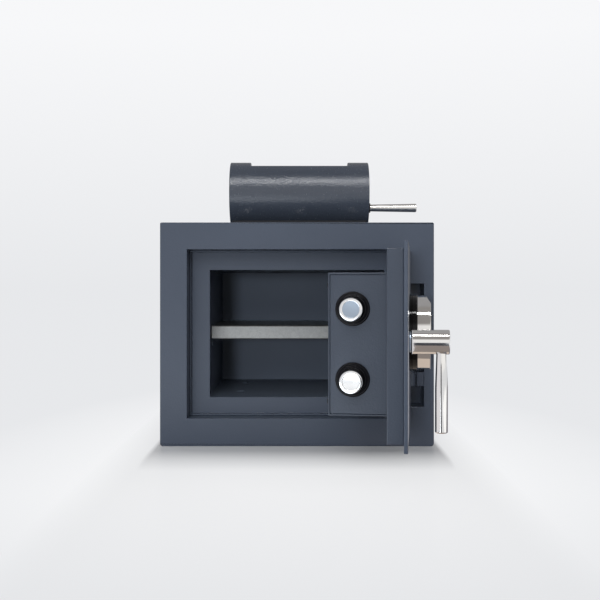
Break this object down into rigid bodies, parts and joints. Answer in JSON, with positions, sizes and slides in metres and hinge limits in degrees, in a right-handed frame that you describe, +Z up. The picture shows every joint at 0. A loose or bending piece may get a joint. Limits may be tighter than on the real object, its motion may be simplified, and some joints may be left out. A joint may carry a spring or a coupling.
{
  "type": "drop safe with rotary deposit hopper",
  "caption": "Small free-standing drop safe with a hinged locking door, electronic keypad, lever handle and a rotary deposit drum on its roof.",
  "frame": {"origin": "centre of the body's underside, on the surface it stands on", "axes": "+X to the right seen from the front, +Y from the door towards the back, +Z up; the door stands open towards -Y"},
  "size_m": [0.355, 0.6374, 0.3805],
  "materials": {
    "powder_coat": "semi-gloss slate grey powder coat with a fine orange-peel texture",
    "inner_coat": "satin slate grey powder coat",
    "zinc_steel": "zinc-coated sheet steel with a fine spangle",
    "chrome": "polished chrome plate",
    "plain_steel": "turned bright steel",
    "blackened_steel": "blackened steel",
    "black_nylon": "black moulded nylon",
    "black_plastic": "gloss black moulded plastic",
    "cable_sheath": "matt black cable sheath",
    "rubber_key": "satin dark rubber with pale printed digits",
    "cast_fill": "light cast concrete filling, hidden"
  },
  "bodies": {
    "body": {"body_shell": "powder_coat", "front_frame": "powder_coat", "stop_frame": "powder_coat", "inner_liner": "inner_coat", "wall_fill": "cast_fill", "shelf": "zinc_steel", "shelf_supports": "inner_coat", "chute_liner": "powder_coat", "chute_baffles": "powder_coat", "hopper_housing": "powder_coat", "hopper_end_left": "powder_coat", "hopper_end_right": "powder_coat", "hopper_saddle": "powder_coat", "hopper_bolts": "plain_steel", "drum_pivots": "plain_steel", "hinge_knuckle_lower": "powder_coat", "hinge_knuckle_upper": "powder_coat", "hinge_pin": "plain_steel"},
    "drum": {"drum_shell": "powder_coat", "drum_end_left": "powder_coat", "drum_end_right": "powder_coat", "drum_rod": "chrome", "drum_rod_nut": "blackened_steel"},
    "door": {"door_plate": "powder_coat", "door_pan": "powder_coat", "door_fill": "cast_fill", "hinge_knuckle_door": "powder_coat", "bolt_box": "powder_coat", "bolt_box_cover": "powder_coat", "cover_screws": "blackened_steel", "bolt_collars": "black_nylon", "bolt_guide": "zinc_steel", "lock_body": "zinc_steel", "lock_cable": "cable_sheath", "keypad_base": "black_plastic", "keypad_housing": "chrome", "keypad_panel": "black_plastic", "handle_rosette": "chrome", "spindle_bush": "zinc_steel"},
    "handle": {"handle_hub": "chrome", "handle_lever": "chrome", "handle_spindle": "zinc_steel", "handle_cam": "zinc_steel"},
    "boltwork": {"bolt_bar": "zinc_steel", "bolt_upper": "chrome", "bolt_lower": "chrome"},
    "lock_bolt": {"lock_bolt": "plain_steel"},
    "key_1": {"key_1": "rubber_key"},
    "key_2": {"key_2": "rubber_key"},
    "key_3": {"key_3": "rubber_key"},
    "key_4": {"key_4": "rubber_key"},
    "key_5": {"key_5": "rubber_key"},
    "key_6": {"key_6": "rubber_key"},
    "key_7": {"key_7": "rubber_key"},
    "key_8": {"key_8": "rubber_key"},
    "key_9": {"key_9": "rubber_key"},
    "key_left": {"key_left": "rubber_key"},
    "key_0": {"key_0": "rubber_key"},
    "key_right": {"key_right": "rubber_key"}
  },
  "joints": [
    {"name": "door_hinge", "type": "hinge", "parent": "body", "child": "door", "pos_m": [0.1455, -0.1755, 0.1455], "axis": [0, 0, 1], "range_deg": [-83, 26]},
    {"name": "drum_turn", "type": "hinge", "parent": "body", "child": "drum", "pos_m": [0.003, -0.0715, 0.33575], "axis": [-1, 0, 0], "range_deg": [0, 170]},
    {"name": "handle_turn", "type": "hinge", "parent": "door", "child": "handle", "pos_m": [0.15191, -0.36948, 0.1457], "axis": [-0.9925, 0.1219, 0], "range_deg": [0, 90]},
    {"name": "bolt_throw", "type": "slide", "parent": "door", "child": "boltwork", "axis": [-0.1219, -0.9925, 0], "range_m": [0, 0.028]},
    {"name": "lock_bolt_slide", "type": "slide", "parent": "door", "child": "lock_bolt", "axis": [0, 0, 1], "range_m": [0, 0.01]},
    {"name": "key_1_press", "type": "slide", "parent": "door", "child": "key_1", "axis": [-0.9925, 0.1219, 0], "range_m": [0, 0.001], "stiffness_N_per_m": 500},
    {"name": "key_2_press", "type": "slide", "parent": "door", "child": "key_2", "axis": [-0.9925, 0.1219, 0], "range_m": [0, 0.001], "stiffness_N_per_m": 500},
    {"name": "key_3_press", "type": "slide", "parent": "door", "child": "key_3", "axis": [-0.9925, 0.1219, 0], "range_m": [0, 0.001], "stiffness_N_per_m": 500},
    {"name": "key_4_press", "type": "slide", "parent": "door", "child": "key_4", "axis": [-0.9925, 0.1219, 0], "range_m": [0, 0.001], "stiffness_N_per_m": 500},
    {"name": "key_5_press", "type": "slide", "parent": "door", "child": "key_5", "axis": [-0.9925, 0.1219, 0], "range_m": [0, 0.001], "stiffness_N_per_m": 500},
    {"name": "key_6_press", "type": "slide", "parent": "door", "child": "key_6", "axis": [-0.9925, 0.1219, 0], "range_m": [0, 0.001], "stiffness_N_per_m": 500},
    {"name": "key_7_press", "type": "slide", "parent": "door", "child": "key_7", "axis": [-0.9925, 0.1219, 0], "range_m": [0, 0.001], "stiffness_N_per_m": 500},
    {"name": "key_8_press", "type": "slide", "parent": "door", "child": "key_8", "axis": [-0.9925, 0.1219, 0], "range_m": [0, 0.001], "stiffness_N_per_m": 500},
    {"name": "key_9_press", "type": "slide", "parent": "door", "child": "key_9", "axis": [-0.9925, 0.1219, 0], "range_m": [0, 0.001], "stiffness_N_per_m": 500},
    {"name": "key_left_press", "type": "slide", "parent": "door", "child": "key_left", "axis": [-0.9925, 0.1219, 0], "range_m": [0, 0.001], "stiffness_N_per_m": 500},
    {"name": "key_0_press", "type": "slide", "parent": "door", "child": "key_0", "axis": [-0.9925, 0.1219, 0], "range_m": [0, 0.001], "stiffness_N_per_m": 500},
    {"name": "key_right_press", "type": "slide", "parent": "door", "child": "key_right", "axis": [-0.9925, 0.1219, 0], "range_m": [0, 0.001], "stiffness_N_per_m": 500}
  ],
  "couplings": [
    {"joint": "bolt_throw", "follows": "handle_turn", "m_per_rad": 0.017825}
  ]
}
